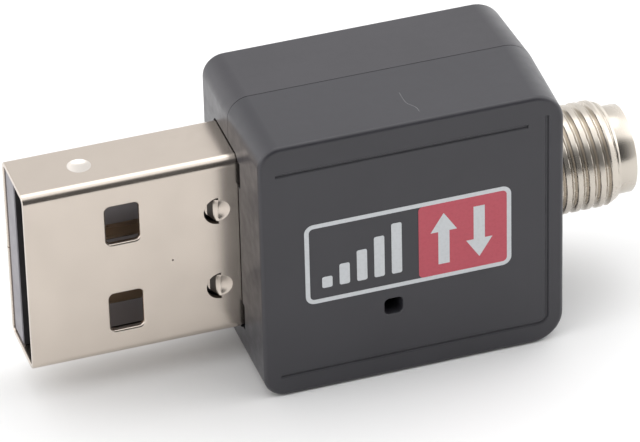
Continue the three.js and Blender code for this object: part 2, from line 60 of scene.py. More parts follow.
AXIS_Y = (PLUG_LOW.y + PLUG_HIGH.y) / 2
AXIS_Z = (PLUG_LOW.z + PLUG_HIGH.z) / 2
JACK_AXIS = ((DIELECTRIC_LOW.y + DIELECTRIC_HIGH.y) / 2, (DIELECTRIC_LOW.z + DIELECTRIC_HIGH.z) / 2)
FRONT_Y = FRONT_LOW.y
BACK_Y = REAR_HIGH.y
CASE_HEIGHT = FRONT_HIGH.z - FRONT_LOW.z
CASE_MIDDLE_Z = (FRONT_HIGH.z + FRONT_LOW.z) / 2
PLUG_FACE_Y = PLUG_LOW.y
PLUG_THICKNESS = PLUG_HIGH.y - PLUG_LOW.y
PLUG_WIDTH = PLUG_HIGH.z - PLUG_LOW.z

# -------- sizes inside the frame's boxes
PARTING_Y = -0.6 * MM
DRAFT = 0.25 * MM
PLUG_SIDE_CORNER = 1.3 * MM
JACK_SIDE_CORNER = 1.85 * MM
FACE_FILLET = 0.28 * MM
WALL = 1.2 * MM
LIP_INSET = 0.65 * MM
LIP_HEIGHT = 0.8 * MM
FIT_GAP = 0.05 * MM
PLUG_SIDE_X = FRONT_LOW.x
JACK_SIDE_X = FRONT_HIGH.x - DRAFT
PANEL_INSET = 0.008 * MM
PANEL_Y = FRONT_Y + PANEL_INSET

SHEET = 0.3 * MM
PLUG_CORNER = 0.6 * MM
TABS_LENGTH = 2.5 * MM
PLUG_REAR_X = PLUG_HIGH.x - TABS_LENGTH

THREAD_PITCH = 25.4 / 36 * MM
THREAD_RADIUS = 6.35 / 2 * MM
THREAD_DEPTH = 0.23 * MM
THREAD_ROOT = THREAD_RADIUS - THREAD_DEPTH
THREAD_PHASE = 0.34
THREAD_VALLEY, THREAD_FLANK = 0.05, 0.55  # shares of half a pitch
NOSE_RADIUS = 2.65 * MM
NOSE_LENGTH = 1.1 * MM


# -------- mesh tools
def along_x(u, v, depth):
    return Vector((depth, u, v))


def along_y(u, v, depth):
    return Vector((u, depth, v))


def along_z(u, v, depth):
    return Vector((u, v, depth))


def arc(centre, radius, start_degrees, end_degrees, steps=8):
    points = []
    for step in range(steps + 1):
        angle = math.radians(start_degrees + (end_degrees - start_degrees) * step / steps)
        points.append((centre[0] + radius * math.cos(angle), centre[1] + radius * math.sin(angle)))
    return points


def circle(radius, centre, steps):
    turns = (2 * math.pi * step / steps for step in range(steps))
    return [(centre[0] + radius * math.cos(turn), centre[1] + radius * math.sin(turn)) for turn in turns]


def rounded_rect(width, height, radius, centre, arc_steps=8):
    """The corners of a rounded rectangle, anticlockwise, as a list of (u, v)."""
    points = []
    for corner in range(4):
        u = centre[0] + (width / 2 - radius) * (1 if corner in (0, 3) else -1)
        v = centre[1] + (height / 2 - radius) * (1 if corner in (0, 1) else -1)
        points += arc((u, v), radius, 90 * corner, 90 * corner + 90, arc_steps)
    return points


def stroke(centreline, half_width):
    """The outline of an open line with square ends and mitred corners, half_width to each side of it."""
    points = [Vector(point) for point in centreline]
    runs = [(after - before).normalized() for before, after in zip(points, points[1:])]
    left, right = [], []
    for point, before, after in zip(points, [runs[0]] + runs, runs + [runs[-1]]):
        middle = (before + after).normalized()
        across = Vector((-middle.y, middle.x)) * half_width / middle.dot(before)
        left.append(tuple(point + across))
        right.append(tuple(point - across))
    return right + left[::-1]


def smooth(share):
    """Eases from 0 to 1 and stays there."""
    share = min(max(share, 0.0), 1.0)
    return share * share * (3 - 2 * share)


def build(name, bm, *materials):
    """A new object from a bmesh, with its faces turned outwards and the bmesh freed."""
    bmesh.ops.recalc_face_normals(bm, faces=bm.faces)
    mesh = bpy.data.meshes.new(name)
    bm.to_mesh(mesh)
    bm.free()
    piece = bpy.data.objects.new(name, mesh)
    bpy.context.scene.collection.objects.link(piece)
    for material in materials:
        mesh.materials.append(material)
    return piece


def loft(rings, closed=False):
    """Joins rings of equally many points, with flat caps, or with the last joined to the first if closed."""
    bm = bmesh.new()
    loops = [[bm.verts.new(point) for point in ring] for ring in rings]
    pairs = list(zip(loops, loops[1:]))
    if closed:
        pairs.append((loops[-1], loops[0]))
    else:
        bm.faces.new(loops[0])
        bm.faces.new(loops[-1])
    count = len(loops[0])
    for lower, upper in pairs:
        for index in range(count):
            beside = (index + 1) % count
            bm.faces.new((lower[index], lower[beside], upper[beside], upper[index]))
    return bm


def flared(outline_at, levels, place, closed=False):
    """A loft of one outline at several depths: levels are (growth or radius of the outline, depth) pairs."""
    return loft([[place(u, v, depth) for u, v in outline_at(growth)] for growth, depth in levels], closed)


def straight(outline, start, end, place):
    """A loft of one outline from one depth to another."""
    return flared(lambda growth: outline, [(0, start), (0, end)], place)


def in_face(levels, face, inwards=1):
    """(growth, depth) pairs in millimetres, depths counted inwards from a face, as levels in metres."""
    return [(growth * MM, face + inwards * depth * MM) for growth, depth in levels]


def rect_at(width, height, radius, centre, arc_steps=8):
    """The outline of a rounded rectangle as a function of how far it is grown all round."""
    return lambda growth: rounded_rect(
        width + 2 * growth, height + 2 * growth, max(radius + growth, 0.001 * MM), centre, arc_steps
    )


def gather(*parts):
    """Several separate closed meshes as one."""
    bm = bmesh.new()
    for part in parts:
        mesh = bpy.data.meshes.new("part")
        part.to_mesh(mesh)
        part.free()
        bm.from_mesh(mesh)
        bpy.data.meshes.remove(mesh)
    return bm


def combine(piece, operation, bm, *materials):
    """Cuts a mesh from the piece or joins it on. The new faces keep the tool's material, if it has one."""
    tool = build("tool", bm, *materials)
    modifier = piece.modifiers.new("combine", "BOOLEAN")
    modifier.operation = operation
    modifier.solver = "EXACT"
    modifier.material_mode = "TRANSFER"
    modifier.object = tool
    bpy.context.view_layer.update()
    result = piece.evaluated_get(bpy.context.evaluated_depsgraph_get())
    mesh = bpy.data.meshes.new_from_object(result)
    piece.modifiers.clear()
    piece.data = mesh
    bpy.data.objects.remove(tool)


def cut(piece, bm, *materials):
    combine(piece, "DIFFERENCE", bm, *materials)


def join(piece, bm, *materials):
    combine(piece, "UNION", bm, *materials)


def soften(piece):
    """Smooth shading, except over sharp edges, with the large flat faces kept flat."""
    bm = bmesh.new()
    bm.from_mesh(piece.data)
    bmesh.ops.remove_doubles(bm, verts=bm.verts, dist=1e-7)
    bmesh.ops.dissolve_degenerate(bm, edges=bm.edges, dist=1e-7)
    sharp_from = math.radians(32)
    for edge in bm.edges:
        edge.smooth = len(edge.link_faces) == 2 and edge.calc_face_angle(0) < sharp_from
    for face in bm.faces:
        face.smooth = True
    bm.to_mesh(piece.data)
    bm.free()
    weighted = piece.modifiers.new("flat faces", "WEIGHTED_NORMAL")
    weighted.keep_sharp = True
    weighted.weight = 80


def finish_piece(piece, slot, *replaced):
    """Softens the piece, sets it under the root body and hides the CAD node it stands for, if there is one.
    The slot is not used.
    """
    soften(piece)
    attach(piece, "root")
    if replaced:
        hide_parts(*replaced)


# -------- materials
class Graph:
    """A node tree, and short calls for adding and linking its nodes."""

    def __init__(self, tree):
        self.tree = tree

    def node(self, kind, inputs=None, **properties):
        node = self.tree.nodes.new(kind)
        for name, value in properties.items():
            setattr(node, name, value)
        for name, value in (inputs or {}).items():
            self.feed(node.inputs[name], value)
        return node

    def feed(self, socket, value):
        if isinstance(value, bpy.types.NodeSocket):
            self.tree.links.new(value, socket)
        else:
            socket.default_value = value

    def math(self, operation, first, second):
        node = self.node("ShaderNodeMath", operation=operation)
        self.feed(node.inputs[0], first)
        self.feed(node.inputs[1], second)
        return node.outputs[0]

    def parts(self, vector):
        """The X, Y and Z outputs of a vector."""
        return self.node("ShaderNodeSeparateXYZ", {"Vector": vector}).outputs


class Shader(Graph):
    """One material."""

    def __init__(self, name):
        self.material = bpy.data.materials.new(name)
        self.material.use_nodes = True
        super().__init__(self.material.node_tree)
        self.surface = self.tree.nodes["Principled BSDF"]
        self.place = self.node("ShaderNodeTexCoord").outputs["Object"]

    def set(self, **inputs):
        for name, value in inputs.items():
            self.feed(self.surface.inputs[name.replace("_", " ")], value)

    def noise(self, scale, detail=4.0, stretch=(1, 1, 1), distortion=0.0):
        """Noise with features about 1 / scale metres across, drawn out along an axis by a low stretch."""
        mapping = self.node("ShaderNodeMapping", {"Vector": self.place, "Scale": stretch})
        inputs = {"Vector": mapping.outputs[0], "Scale": scale, "Detail": detail, "Distortion": distortion}
        return self.node("ShaderNodeTexNoise", inputs).outputs["Fac"]

    def spread(self, value, low, high, start, end):
        """Maps a value's range from start to end onto low to high."""
        inputs = {"Value": value, "From Min": start, "From Max": end, "To Min": low, "To Max": high}
        return self.node("ShaderNodeMapRange", inputs).outputs[0]

    def vary(self, noise, low, high):
        """Maps the middle of a noise's range onto low to high."""
        return self.spread(noise, low, high, 0.3, 0.7)

    def mix(self, share, first, second):
        node = self.node("ShaderNodeMix", data_type="RGBA")
        self.feed(node.inputs[0], share)
        self.feed(node.inputs[6], first)
        self.feed(node.inputs[7], second)
        return node.outputs[2]

    def blotches(self, scale, first, second):
        """A colour that wanders between two."""
        return self.mix(self.vary(self.noise(scale), 0, 1), first, second)

    def bump(self, height, distance, strength):
        inputs = {"Height": height, "Distance": distance, "Strength": strength}
        return self.node("ShaderNodeBump", inputs).outputs[0]

    def facing(self):
        """The X, Y and Z outputs of the surface's normal."""
        return self.parts(self.node("ShaderNodeNewGeometry").outputs["Normal"])

    def edges(self, radius):
        """About 1 on edges sharper than the radius, and 0 on flat faces."""
        bevel = self.node("ShaderNodeBevel", {"Radius": radius}, samples=4)
        geometry = self.node("ShaderNodeNewGeometry")
        product = self.node("ShaderNodeVectorMath", operation="DOT_PRODUCT")
        self.feed(product.inputs[0], bevel.outputs[0])
        self.feed(product.inputs[1], geometry.outputs["Normal"])
        return self.spread(product.outputs["Value"], 0.0, 1.0, 0.99, 0.8)


def rgb(red, green, blue):
    return (red, green, blue, 1.0)


def scaled(colour, factor):
    return rgb(*(channel * factor for channel in colour[:3]))


def case_plastic(name, colour, worn):
    """Satin moulded plastic: a fine spark-eroded grain, faint blotches and slightly polished edges."""
    shader = Shader(name)
    grain = shader.noise(9000, detail=2)
    blotch = shader.noise(260, detail=3)
    patches = shader.spread(shader.noise(900), 0.1, 0.5, 0.35, 0.7)
    wear = shader.math("MULTIPLY", shader.edges(0.12 * MM), patches)
    tone = shader.mix(shader.vary(blotch, 0.0, 1.0), colour, scaled(colour, 1.12))
    shader.set(
        Base_Color=shader.mix(wear, tone, worn),
        Roughness=shader.vary(shader.noise(1400, detail=3), 0.30, 0.40),
        Specular_IOR_Level=0.5,
        Normal=shader.bump(grain, 0.006 * MM, 0.35),
    )
    return shader.material


def nickel(name, colour, stretch, roughness, line_depth=0.0006 * MM):
    """Bright nickel plate: fine lines from rolling or turning, and hazy patches."""
    shader = Shader(name)
    lines = shader.noise(3500, detail=3, stretch=stretch)
    haze = shader.noise(320, detail=4, distortion=0.4)
    shader.set(
        Metallic=1.0,
        Base_Color=shader.mix(shader.spread(haze, 0.0, 0.7, 0.3, 0.75), colour, scaled(colour, 0.9)),
        Roughness=shader.spread(haze, *roughness, 0.3, 0.72),
        Normal=shader.bump(lines, line_depth, 0.6),
    )
    return shader.material


def plain_plastic(name, colour, roughness, grain_scale=5000):
    """A matt moulding, ceramic or stain, a little paler on its edges."""
    shader = Shader(name)
    wear = shader.math("MULTIPLY", shader.edges(0.08 * MM), 0.35)
    light = rgb(*(min(1.0, channel * 1.6 + 0.03) for channel in colour[:3]))
    shader.set(
        Base_Color=shader.mix(wear, colour, light),
        Roughness=shader.vary(shader.noise(900), *roughness),
        Normal=shader.bump(shader.noise(grain_scale, detail=2), 0.004 * MM, 0.3),
    )
    return shader.material


def tongue_plastic(name):
    """Black moulding with painted light: the end at the mouth is painted paler, as if lit from the side, and
    the contact side further in is painted pale, as if lit through the windows.
    """
    shader = Shader(name)
    along = shader.parts(shader.place)["X"]
    facing = shader.facing()
    # Painted light: faces turned towards the mouth get a paler grey, as if lit from the side.
    end = shader.spread(facing["X"], 1.0, 0.0, -0.8, -0.4)
    # Painted light: the contact side, facing -Y, fades from black near the tip to pale grey further in,
    # where it is seen through the windows.
    inwards = shader.spread(along, 0.0, 1.0, PLUG_LOW.x + 1.2 * MM, PLUG_LOW.x + 4.2 * MM)
    painted_window_light = shader.math("MULTIPLY", inwards, shader.spread(facing["Y"], 1.0, 0.0, -0.8, -0.4))
    inner = shader.mix(painted_window_light, rgb(0.022, 0.021, 0.024), rgb(0.42, 0.40, 0.42))
    shader.set(
        Base_Color=shader.mix(end, inner, rgb(0.19, 0.18, 0.2)),
        Roughness=shader.vary(shader.noise(900), 0.35, 0.5),
        Normal=shader.bump(shader.noise(5000, detail=2), 0.004 * MM, 0.3),
    )
    return shader.material


def ink(name, colour):
    """Pad-printed ink: slightly uneven cover over the plastic's grain."""
    shader = Shader(name)
    cover = shader.spread(shader.noise(5000, detail=3), 0.0, 0.28, 0.45, 0.75)
    shader.set(
        Base_Color=shader.mix(cover, colour, scaled(colour, 0.72)),
        Roughness=shader.vary(shader.noise(2500), 0.44, 0.58),
        Normal=shader.bump(shader.noise(9000, detail=2), 0.004 * MM, 0.3),
    )
    return shader.material


def gold(name):
    """A thin gold flash, with lengthwise rub marks from insertions."""
    shader = Shader(name)
    rubs = shader.noise(2600, detail=3, stretch=(0.06, 1, 1))
    worn = shader.spread(rubs, 0.0, 0.6, 0.5, 0.75)
    shader.set(
        Metallic=0.6,
        Base_Color=shader.mix(worn, rgb(0.50, 0.37, 0.25), rgb(0.44, 0.37, 0.33)),
        Roughness=shader.vary(rubs, 0.16, 0.34),
        Normal=shader.bump(rubs, 0.0006 * MM, 0.5),
    )
    return shader.material


def ptfe(name):
    """Waxy white fluoropolymer with faint turning marks."""
    shader = Shader(name)
    turned = shader.noise(2200, detail=2, stretch=(1, 0.2, 0.2))
    shader.set(
        Base_Color=shader.blotches(500, rgb(0.86, 0.85, 0.81), rgb(0.8, 0.79, 0.74)),
        Roughness=shader.vary(turned, 0.35, 0.5),
        Subsurface_Weight=0.25,
        Subsurface_Scale=0.3 * MM,
        Normal=shader.bump(turned, 0.002 * MM, 0.4),
    )
    return shader.material


def board_laminate(name):
    """Green solder mask over copper: raised straight traces, with the bare laminate on the cut edges."""
    shader = Shader(name)
    upright = shader.node("ShaderNodeMapping", {"Vector": shader.place, "Rotation": (math.pi / 2, 0, 0)})
    grid = shader.node(
        "ShaderNodeTexBrick",
        {
            "Vector": upright.outputs[0],
            "Color1": rgb(0, 0, 0),
            "Color2": rgb(0.25, 0.25, 0.25),
            "Mortar": rgb(1, 1, 1),
            "Scale": 620,
            "Mortar Size": 0.06,
            "Mortar Smooth": 0.2,
            "Brick Width": 1.7,
            "Row Height": 0.42,
        },
        offset=0.37,
        squash=1.6,
        squash_frequency=3,
    )
    copper = shader.node("ShaderNodeRGBToBW", {"Color": grid.outputs["Color"]}).outputs[0]
    flat = shader.spread(shader.math("ABSOLUTE", shader.facing()["Y"], 0.0), 0.0, 1.0, 0.6, 0.8)
    mask = shader.mix(copper, rgb(0.012, 0.1, 0.04), rgb(0.03, 0.2, 0.085))
    shader.set(
        Base_Color=shader.mix(flat, rgb(0.5, 0.47, 0.26), mask),
        Roughness=shader.vary(shader.noise(1800), 0.22, 0.36),
        Coat_Weight=0.4,
        Coat_Roughness=0.15,
        Normal=shader.bump(copper, 0.02 * MM, 0.5),
    )
    return shader.material


def clear_lens(name):
    """Pale, slightly milky epoxy."""
    shader = Shader(name)
    shader.set(
        Base_Color=shader.blotches(1500, rgb(0.93, 0.93, 0.82), rgb(0.86, 0.86, 0.74)),
        Roughness=shader.vary(shader.noise(2500), 0.08, 0.18),
        Transmission_Weight=0.7,
        Normal=shader.bump(shader.noise(6000), 0.002 * MM, 0.2),
    )
    return shader.material


NICKEL_TONE = rgb(0.62, 0.55, 0.485)
ALONG_X = (0.04, 1, 1)
ROUND_X = (1, 0.04, 0.04)

FRONT_PLASTIC = case_plastic("front_case_plastic", rgb(0.029, 0.028, 0.034), rgb(0.035, 0.034, 0.042))
REAR_PLASTIC = case_plastic("rear_case_plastic", rgb(0.036, 0.034, 0.04), rgb(0.041, 0.04, 0.047))
SCUFFED_PLASTIC = plain_plastic("scuffed_case_plastic", rgb(0.13, 0.13, 0.135), (0.5, 0.65))
PLUG_NICKEL = nickel("plug_nickel", NICKEL_TONE, ALONG_X, (0.19, 0.27))
# A paler nickel for the inside of the dimples: a painted highlight, so that the whole dent shows bright.
DIMPLE_HIGHLIGHT_NICKEL = nickel("dimple_painted_highlight_nickel", rgb(0.77, 0.72, 0.67), (1, 1, 1), (0.2, 0.26))
JACK_NICKEL = nickel("jack_nickel", rgb(0.61, 0.56, 0.495), ROUND_X, (0.22, 0.32), 0.0009 * MM)
# Cut steel in a dark brown that is partly painted shade: it darkens the lance slots and the lance bends as
# if they were in shade, and it colours the speck.
SHEARED_STEEL_AND_SHADE = plain_plastic("sheared_steel_and_painted_shade", rgb(0.075, 0.058, 0.045), (0.4, 0.55))
TINNED = nickel("tinned_metal", rgb(0.75, 0.74, 0.72), (1, 1, 1), (0.25, 0.4), 0.002 * MM)
CAN_METAL = nickel("crystal_can_metal", rgb(0.78, 0.74, 0.64), ALONG_X, (0.2, 0.32))
# The insulator's material carries painted light on its end and on its contact side.
INSULATOR_BLACK = tongue_plastic("insulator_plastic")
GOLD_FLASH = gold("contact_gold")
JACK_PTFE = ptfe("jack_ptfe")
BOARD = board_laminate("board_laminate")
CHIP_EPOXY = plain_plastic("chip_epoxy", rgb(0.02, 0.02, 0.021), (0.5, 0.65), 7000)
CERAMIC_TAN = plain_plastic("ceramic_tan", rgb(0.36, 0.22, 0.11), (0.4, 0.55), 6000)
CERAMIC_WHITE = plain_plastic("ceramic_white", rgb(0.75, 0.75, 0.72), (0.4, 0.55), 6000)
RESISTOR_GLAZE = plain_plastic("resistor_glaze", rgb(0.012, 0.012, 0.014), (0.15, 0.25), 4000)
FERRITE = plain_plastic("ferrite", rgb(0.045, 0.045, 0.048), (0.55, 0.7), 5000)
LED_LENS = clear_lens("led_lens")
WHITE_INK = ink("white_ink", rgb(0.62, 0.64, 0.66))
RED_INK = ink("red_ink", rgb(0.50, 0.075, 0.105))


# -------- case
PEGS = [(5.2 * MM, 13.8 * MM), (-1.6 * MM, 2.6 * MM)]
POST_RADIUS = 1.1 * MM
PEG_RADIUS = 0.45 * MM


def case_ring(y, inset, face_y):
    """One ring of a shell: the case's outline at y, drawn in by inset. Only the jack's end is drafted."""
    share = (y - PARTING_Y) / (face_y - PARTING_Y)
    left = PLUG_SIDE_X + inset
    right = JACK_SIDE_X + DRAFT * (1 - min(max(share, 0.0), 1.0)) - inset
    half_height = CASE_HEIGHT / 2 - inset
    outline = []
    for corner in range(4):
        at_plug = corner in (1, 2)
        radius = max((PLUG_SIDE_CORNER if at_plug else JACK_SIDE_CORNER) - inset, 0.35 * MM)
        u = left + radius if at_plug else right - radius
        v = CASE_MIDDLE_Z + (half_height - radius) * (1 if corner < 2 else -1)
        outline += arc((u, v), radius, 90 * corner, 90 * corner + 90, 12)
    return [along_y(u, v, y) for u, v in outline]


def outer_levels(face_y):
    """(y, inset) from the rounded edge of the face to the slightly eased edge at the parting plane."""
    inwards = 1 if face_y < PARTING_Y else -1
    steps = 6
    levels = []
    for step in range(steps + 1):
        angle = step / steps * math.pi / 2
        y = face_y + inwards * FACE_FILLET * (1 - math.cos(angle))
        levels.append((y, FACE_FILLET * (1 - math.sin(angle))))
    ease = 0.02 * MM
    levels.append((PARTING_Y - inwards * 1.5 * ease, 0.0))
    levels.append((PARTING_Y - inwards * ease, 0.5 * ease))
    levels.append((PARTING_Y - inwards * 0.6 * ease, 1.3 * ease))
    levels.append((PARTING_Y, 1.3 * ease))
    return levels


def shell(name, face_y, inner_levels, material):
    levels = outer_levels(face_y) + inner_levels
    return build(name, loft([case_ring(y, inset, face_y) for y, inset in levels]), material)


def plug_opening():
    """The way in for the plug, a little loose above it, with a relief near each of its corners."""
    start, end = PLUG_SIDE_X - 1 * MM, PLUG_SIDE_X + 1.7 * MM
    front_gap, back_gap = 0.12 * MM, 0.03 * MM
    gap_above, gap_below = 0.12 * MM, 0.06 * MM
    relief = 0.45 * MM
    relief_from, relief_to = 4.05 * MM, 5.8 * MM
    thickness = PLUG_THICKNESS + front_gap + back_gap
    width = PLUG_WIDTH + gap_above + gap_below
    middle = (AXIS_Y + (back_gap - front_gap) / 2, AXIS_Z + (gap_above - gap_below) / 2)
    outlines = [rounded_rect(thickness, width, 0.6 * MM, middle)]
    relief_reach = PLUG_THICKNESS / 2 + relief
    for side in (-1, 1):
        middle = (AXIS_Y - relief_reach / 2, AXIS_Z + side * (relief_from + relief_to) / 2)
        outlines.append(rounded_rect(relief_reach, relief_to - relief_from, 0.1 * MM, middle, 3))
    return [straight(outline, start, end, along_x) for outline in outlines]


def jack_hole():
    """The round hole for the jack, slightly flared outside."""
    radius = THREAD_RADIUS + 0.1 * MM
    start = JACK_SIDE_X - WALL - 1 * MM
    levels = [
        (radius, start),
        (radius, JACK_SIDE_X + 0.1 * MM),
        (radius + 0.12 * MM, JACK_SIDE_X + 0.26 * MM),
        (radius + 0.5 * MM, JACK_SIDE_X + 0.6 * MM),
    ]
    return flared(lambda radius: circle(radius, JACK_AXIS, 64), levels, along_x)


def post(x, z, radius, y0, y1, ease=0.08 * MM):
    """A round peg along Y with eased ends."""
    levels = [(radius - ease, y0), (radius, y0 + ease), (radius, y1 - ease), (radius - ease, y1)]
    return flared(lambda radius: circle(radius, (x, z), 32), levels, along_y)


def groove(outline_at):
    """A fine moulded groove in the front face, with eased edges."""
    levels = [(0.14, -0.06), (0.1, -0.015), (0.055, 0.0), (0.025, 0.025), (0.0, 0.06), (-0.02, 0.1)]
    return flared(outline_at, in_face(levels, PANEL_Y), along_y)


GROOVE_HALF = 0.075 * MM
PANEL_LEFT, PANEL_RIGHT = -8.16 * MM, 6.96 * MM
PANEL_TOP, PANEL_BOTTOM = 15.25 * MM, 1.4 * MM
SIDE_GROOVE_X = 8.11 * MM
SIDE_GROOVE_TOP = 15.75 * MM
GROOVE_BEND = 0.5 * MM


def front_grooves():
    """One line over the panel, and one from under it round the corner and up its jack side."""
    top_line = [(PANEL_LEFT, PANEL_TOP), (PANEL_RIGHT, PANEL_TOP)]
    bend = arc((SIDE_GROOVE_X - GROOVE_BEND, PANEL_BOTTOM + GROOVE_BEND), GROOVE_BEND, -90, 0)
    side_line = [(PANEL_LEFT, PANEL_BOTTOM)] + bend + [(SIDE_GROOVE_X, SIDE_GROOVE_TOP)]
    lines = (top_line, side_line)
    return [groove(lambda growth, line=line: stroke(line, GROOVE_HALF + growth)) for line in lines]


def panel_inset():
    """The field between the grooves, let in by a hair."""
    width = PANEL_RIGHT - PANEL_LEFT
    height = PANEL_TOP - PANEL_BOTTOM
    centre = ((PANEL_RIGHT + PANEL_LEFT) / 2, (PANEL_TOP + PANEL_BOTTOM) / 2)
    outline = rect_at(width, height, 0.15 * MM, centre)
    levels = [(0.05 * MM, FRONT_Y - 0.02 * MM), (0.03 * MM, FRONT_Y), (0.0, PANEL_Y)]
    return flared(outline, levels, along_y)


def led_window():
    """The square hole in front of the LED."""
    middle = ((LED_LOW.x + LED_HIGH.x) / 2, (LED_LOW.z + LED_HIGH.z) / 2)
    size = 1.08 * MM
    levels = [(0.09, -0.06), (0.05, -0.005), (0.02, 0.03), (0.0, 0.07), (-0.02, 1.6)]
    return flared(rect_at(size, size, 0.3 * MM, middle), in_face(levels, PANEL_Y), along_y)


def top_scratch():
    """A hair-thin, slightly S-shaped scratch across the top of the front shell."""
    bends = [(0.32, -3.2), (0.31, -3.6), (0.31, -4.0), (0.34, -4.3), (0.42, -4.52), (0.58, -4.74)]
    bends += [(0.7, -4.92), (0.75, -5.15), (0.76, -5.45)]
    line = [(x * MM, y * MM) for x, y in bends]
    half_width = 0.013 * MM
    levels = in_face([(0.008, -0.008), (0.005, 0.0), (-0.006, 0.007)], FRONT_HIGH.z, -1)
    return flared(lambda growth: stroke(line, half_width + growth), levels, along_z)


def front_case():
    cavity_y = FRONT_Y + WALL
    rebate = LIP_INSET - FIT_GAP
    rebate_y = PARTING_Y - LIP_HEIGHT - FIT_GAP
    inner = [(PARTING_Y, rebate), (rebate_y, rebate), (rebate_y, WALL), (cavity_y, WALL)]
    piece = shell("front_case", FRONT_Y, inner, FRONT_PLASTIC)
    for x, z in PEGS:
        join(piece, post(x, z, POST_RADIUS, cavity_y - 0.3 * MM, BOARD_LOW.y - FIT_GAP))
        cut(piece, post(x, z, PEG_RADIUS + FIT_GAP, BOARD_LOW.y - 1.4 * MM, BOARD_LOW.y + 1 * MM))
    for tool in [*plug_opening(), jack_hole(), panel_inset(), *front_grooves(), led_window()]:
        cut(piece, tool)
    cut(piece, top_scratch(), SCUFFED_PLASTIC)
    finish_piece(piece, "case_plastic", "front_shell")


def rear_case():
    cavity_y = BACK_Y - WALL
    lip_y = PARTING_Y - LIP_HEIGHT
    ease = 0.1 * MM
    lip = [(PARTING_Y, LIP_INSET), (lip_y + ease, LIP_INSET), (lip_y, LIP_INSET + ease)]
    piece = shell("rear_case", BACK_Y, lip + [(lip_y, WALL), (cavity_y, WALL)], REAR_PLASTIC)
    for x, z in PEGS:
        join(piece, post(x, z, POST_RADIUS, BOARD_HIGH.y + FIT_GAP, cavity_y + 0.3 * MM))
        join(piece, post(x, z, PEG_RADIUS, BOARD_LOW.y - 0.9 * MM, cavity_y))
    for tool in [*plug_opening(), jack_hole()]:
        cut(piece, tool)
    finish_piece(piece, "case_plastic", "rear_shell")


# -------- badge
BADGE_MIDDLE = (-0.32 * MM, 8.775 * MM)
BADGE_SIZE = (12.46 * MM, 5.45 * MM)
BADGE_CORNER = 0.55 * MM
BADGE_LINE = 0.27 * MM
INK_BACK = PANEL_Y + 0.004 * MM
INK_FRONT = PANEL_Y - 0.02 * MM


def printed(name, outline, material, front=INK_FRONT):
    """A thin layer of ink in the shape of an outline."""
    finish_piece(build(name, straight(outline, INK_BACK, front, along_y), material), "case_plastic")


def badge_frame():
    levels = [(0, INK_BACK), (0, INK_FRONT), (-BADGE_LINE, INK_FRONT), (-BADGE_LINE, INK_BACK)]
    frame_line = flared(rect_at(*BADGE_SIZE, BADGE_CORNER, BADGE_MIDDLE), levels, along_y, closed=True)
    finish_piece(build("badge_frame", frame_line, WHITE_INK), "case_plastic")


def badge():
    """A generic link badge: a frame, signal bars and a red field for the arrows."""
    badge_frame()
    inner_right = BADGE_MIDDLE[0] + BADGE_SIZE[0] / 2 - BADGE_LINE
    field_left = 0.29 * MM
    field_height = BADGE_SIZE[1] - 2 * BADGE_LINE
    field_middle = ((inner_right + field_left) / 2, BADGE_MIDDLE[1])
    field = rounded_rect(inner_right - field_left, field_height, BADGE_CORNER - BADGE_LINE, field_middle)
    printed("badge_field", field, RED_INK)
    bar_count = 5
    bar_width, bar_corner = 0.62 * MM, 0.12 * MM
    bar_pitch = 1.05 * MM
    first_bar = -5.24 * MM
    bar_foot = BADGE_MIDDLE[1] - 1.75 * MM
    first_height, rise = 0.75 * MM, 0.68 * MM
    for index in range(bar_count):
        height = first_height + rise * index
        middle = (first_bar + index * bar_pitch, bar_foot + height / 2)
        bar = rounded_rect(bar_width, height, bar_corner, middle, 4)
        printed(f"badge_bar_{index + 1}", bar, WHITE_INK)


def badge_arrows():
    """Two arrows in white ink, standing a little proud of the red."""
    shaft, head, head_length, length = 0.34 * MM, 0.8 * MM, 1.25 * MM, 3.5 * MM
    for name, x, way in (("badge_arrow_up", 1.81 * MM, 1), ("badge_arrow_down", 3.96 * MM, -1)):
        tip = way * length / 2
        neck = way * (length / 2 - head_length)
        left = [(-way * head, neck), (-way * shaft, neck), (-way * shaft, -tip)]
        right = [(-u, v) for u, v in reversed(left)]
        outline = [(x + u, BADGE_MIDDLE[1] + v) for u, v in [(0, tip)] + left + right]
        printed(name, outline, WHITE_INK, INK_FRONT - 0.006 * MM)


# -------- USB plug
def rolled_edge(radius, length, face, inwards):
    """(growth, depth) levels of a cutter that rounds the edge it leaves in a face, then runs straight."""
    steps = 6
    levels = [(radius * 1.25, face - inwards * 0.02 * MM)]
    for step in range(steps + 1):
        angle = step / steps * math.pi / 2
        levels.append((radius * (1 - math.sin(angle)), face + inwards * radius * (1 - math.cos(angle))))
    return levels + [(0.0, face + inwards * length)]


def plug_window(side, y_out, outwards):
    """A punched window through one broad face, rolled over outside. outwards is -1 for the front face."""
    from_mouth, from_axis = 5.76 * MM, 3.0 * MM
    width, height, corner = 1.98 * MM, 2.53 * MM, 0.3 * MM
    outline = rect_at(width, height, corner, (PLUG_LOW.x + from_mouth, AXIS_Z + side * from_axis))
    return flared(outline, rolled_edge(0.16 * MM, SHEET + 0.1 * MM, y_out, -outwards), along_y)


LANCE_HINGE_X = PLUG_SIDE_X - 1.2 * MM
LANCE_RADIUS = 0.88 * MM
LANCE_FROM_AXIS = 2.6 * MM


def lance_depth(radius):
    """How deep the hollow around a lance's hinge is, at a distance from its middle."""
    return 0.17 * MM * max(1 - (radius / (0.68 * MM)) ** 2, 0.0) ** 1.5


def lance_slot(side):
    """The half-round slot that a lance is sheared out of."""
    centre = (LANCE_HINGE_X, AXIS_Z + side * LANCE_FROM_AXIS)
    levels = in_face([(0.03, -0.03), (0.015, 0.0), (0.0, 0.03), (0.0, 0.5)], PLUG_FACE_Y)
    return flared(lambda growth: arc(centre, LANCE_RADIUS + growth, 90, 270, 18), levels, along_y)


